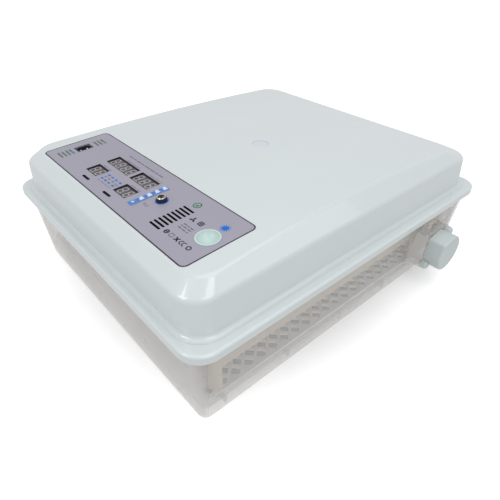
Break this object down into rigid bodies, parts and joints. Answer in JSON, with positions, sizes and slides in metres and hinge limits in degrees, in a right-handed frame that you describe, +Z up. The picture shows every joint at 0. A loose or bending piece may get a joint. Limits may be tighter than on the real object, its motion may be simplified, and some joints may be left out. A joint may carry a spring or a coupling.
{
  "type": "egg incubator",
  "caption": "Flat table-top egg incubator: translucent tub with a motor-driven egg-turning tray, white domed lid with control panel, candling cup, fan and heater.",
  "frame": {"origin": "centre of the tub's underside, on the surface it stands on", "axes": "+Z up; -Y is the front edge, where the control panel is; +X is the side with the turner motor"},
  "size_m": [0.458, 0.51, 0.1773],
  "materials": {
    "tub": "translucent natural moulding, fine satin",
    "grid": "pale grey satin moulding",
    "feet": "pale grey soft feet, fine satin",
    "frame": "warm beige satin moulding",
    "divider": "pale satin sheet",
    "lid": "off-white, fine satin grain with a soft gloss",
    "label": "printed lilac-grey film with a thin dark border",
    "gate": "pale lilac disc",
    "motor_cover": "off-white satin moulding",
    "motor": "zinc-plated pressed steel",
    "steel": "bright plated screws and shaft",
    "nylon": "natural nylon",
    "liner": "white sheet moulding",
    "pcb": "green solder mask",
    "electronics": "black moulded component bodies",
    "display": "smoked face over seven-segment digits",
    "film_cap": "blue epoxy-dipped body",
    "lamp": "clear water-white lens",
    "inlet": "black moulded inlet body",
    "pins": "nickel-plated brass",
    "socket": "polished nickel plate",
    "collar": "black knurled nut",
    "cup": "milky translucent dish",
    "key": "blue glossy key cap with a pale face",
    "fan": "black glass-filled nylon",
    "heater": "dark sheathed heating element",
    "ceramic": "pale heat-resistant moulding",
    "sensor": "white slotted cap",
    "lead": "black insulated lead"
  },
  "bodies": {
    "base": {"tub": "tub", "floor_grid": "grid", "grid_feet": "feet", "motor_cover": "motor_cover", "turner_motor": "motor", "cover_screws": "steel"},
    "turning_frame": {"turning_frame": "frame", "turner_fork": "nylon", "fork_screws": "steel", "divider_1": "divider", "divider_2": "divider", "divider_3": "divider", "divider_4": "divider", "divider_5": "divider", "divider_6": "divider", "divider_7": "divider"},
    "crank": {"motor_shaft": "steel", "crank_arm": "nylon", "crank_roller": "nylon"},
    "lid": {"lid_shell": "lid", "control_label": "label", "gate_disc": "gate", "liner": "liner", "liner_screws": "steel", "control_board": "pcb", "board_screws": "steel", "board_parts": "electronics", "alarm_buzzer": "electronics", "key_switches": "electronics", "status_leds": "lamp", "mains_inlet": "inlet", "inlet_pins": "pins", "inlet_board": "pcb", "film_capacitor": "film_cap", "supply_parts": "electronics", "turner_socket": "socket", "socket_insert": "collar", "socket_contacts": "pins", "socket_nuts": "collar", "candling_cup": "cup", "candling_lamp": "lamp", "candling_board": "pcb", "fan_frame": "fan", "fan_grille": "steel", "fan_screws": "steel", "heater_ring": "heater", "heater_clips": "ceramic", "sensor_housing": "sensor", "sensor_element": "electronics", "wiring": "lead", "display_upper_left": "display", "display_upper_right": "display", "display_lower_left": "display", "display_lower_right": "display"},
    "fan_rotor": {"fan_rotor": "fan"},
    "key_1": {"key_1": "key"},
    "key_2": {"key_2": "key"},
    "key_3": {"key_3": "key"},
    "key_4": {"key_4": "key"},
    "key_5": {"key_5": "key"}
  },
  "joints": [
    {"name": "lid_lift", "type": "slide", "parent": "base", "child": "lid", "axis": [0, 0, 1], "range_m": [0, 0.14]},
    {"name": "frame_slide", "type": "slide", "parent": "base", "child": "turning_frame", "axis": [0, 1, 0], "range_m": [-0.012, 0.012]},
    {"name": "crank_spin", "type": "hinge", "parent": "base", "child": "crank", "pos_m": [0.1975, 0.15, 0.053], "axis": [1, 0, 0], "range_deg": [-90, 90]},
    {"name": "fan_spin", "type": "hinge", "parent": "lid", "child": "fan_rotor", "pos_m": [0, 0, 0.1], "axis": [0, 0, 1], "continuous": true},
    {"name": "key_1_press", "type": "slide", "parent": "lid", "child": "key_1", "axis": [0, 0.0537, -0.9986], "range_m": [0, 0.0005], "stiffness_N_per_m": 300},
    {"name": "key_2_press", "type": "slide", "parent": "lid", "child": "key_2", "axis": [0, 0.0537, -0.9986], "range_m": [0, 0.0005], "stiffness_N_per_m": 300},
    {"name": "key_3_press", "type": "slide", "parent": "lid", "child": "key_3", "axis": [0, 0.0537, -0.9986], "range_m": [0, 0.0005], "stiffness_N_per_m": 300},
    {"name": "key_4_press", "type": "slide", "parent": "lid", "child": "key_4", "axis": [0, 0.0537, -0.9986], "range_m": [0, 0.0005], "stiffness_N_per_m": 300},
    {"name": "key_5_press", "type": "slide", "parent": "lid", "child": "key_5", "axis": [0, 0.0537, -0.9986], "range_m": [0, 0.0005], "stiffness_N_per_m": 300}
  ],
  "couplings": [
    {"joint": "crank_spin", "follows": "frame_slide", "rad_per_m": -130.8}
  ]
}
